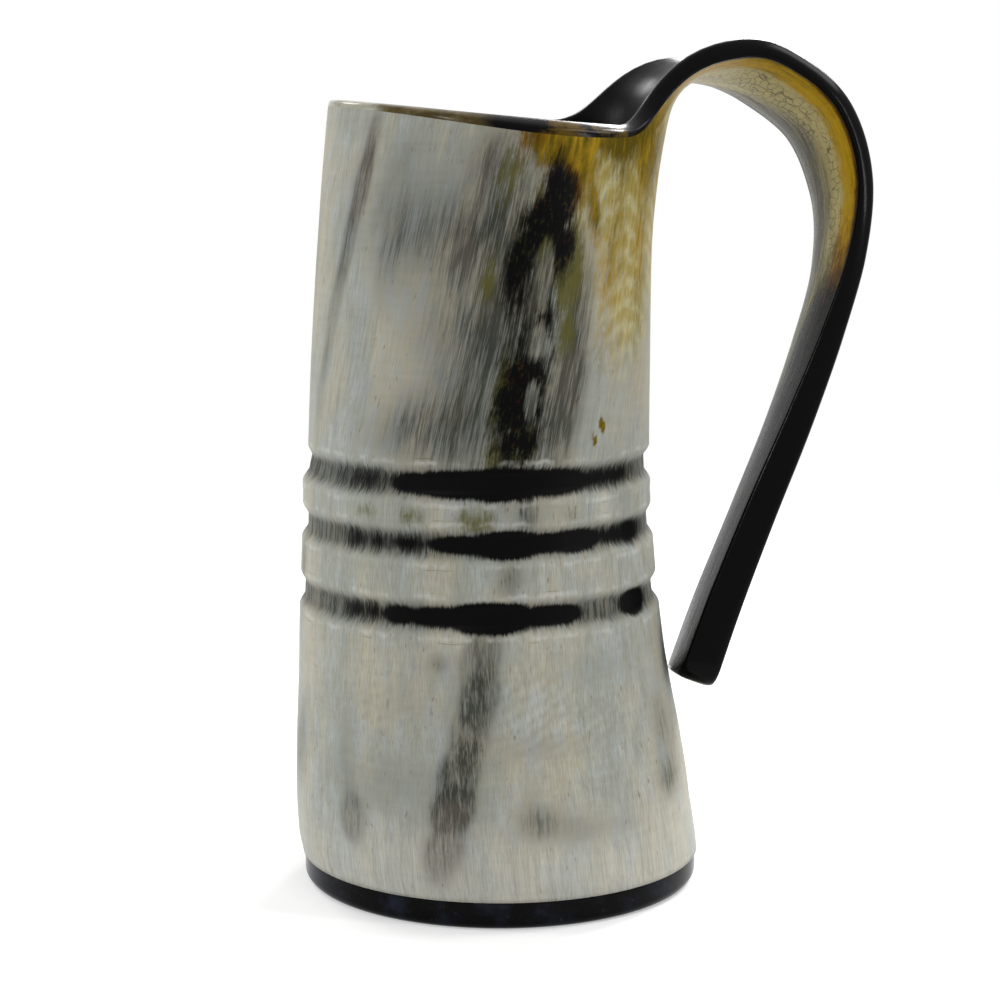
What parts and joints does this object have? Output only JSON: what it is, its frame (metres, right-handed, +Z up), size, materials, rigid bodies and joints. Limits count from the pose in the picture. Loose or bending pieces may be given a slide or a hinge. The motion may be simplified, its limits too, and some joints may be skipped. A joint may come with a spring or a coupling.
{
  "type": "horn drinking cup",
  "caption": "Straight-sided drinking cup made of one horn, with turned grooves, a strap handle bent from the same horn, and a flat base disc.",
  "frame": {"origin": "centre of the base disc's underside", "axes": "+Z up along the cup, +X from the cup towards the handle"},
  "size_m": [0.1152, 0.0806, 0.1672],
  "materials": {
    "horn": "polished natural horn",
    "base": "polished black horn",
    "seal": "clear amber glue"
  },
  "bodies": {
    "root": {"horn_body": "horn", "base_disc": "base", "seal_bead": "seal"}
  },
  "joints": []
}
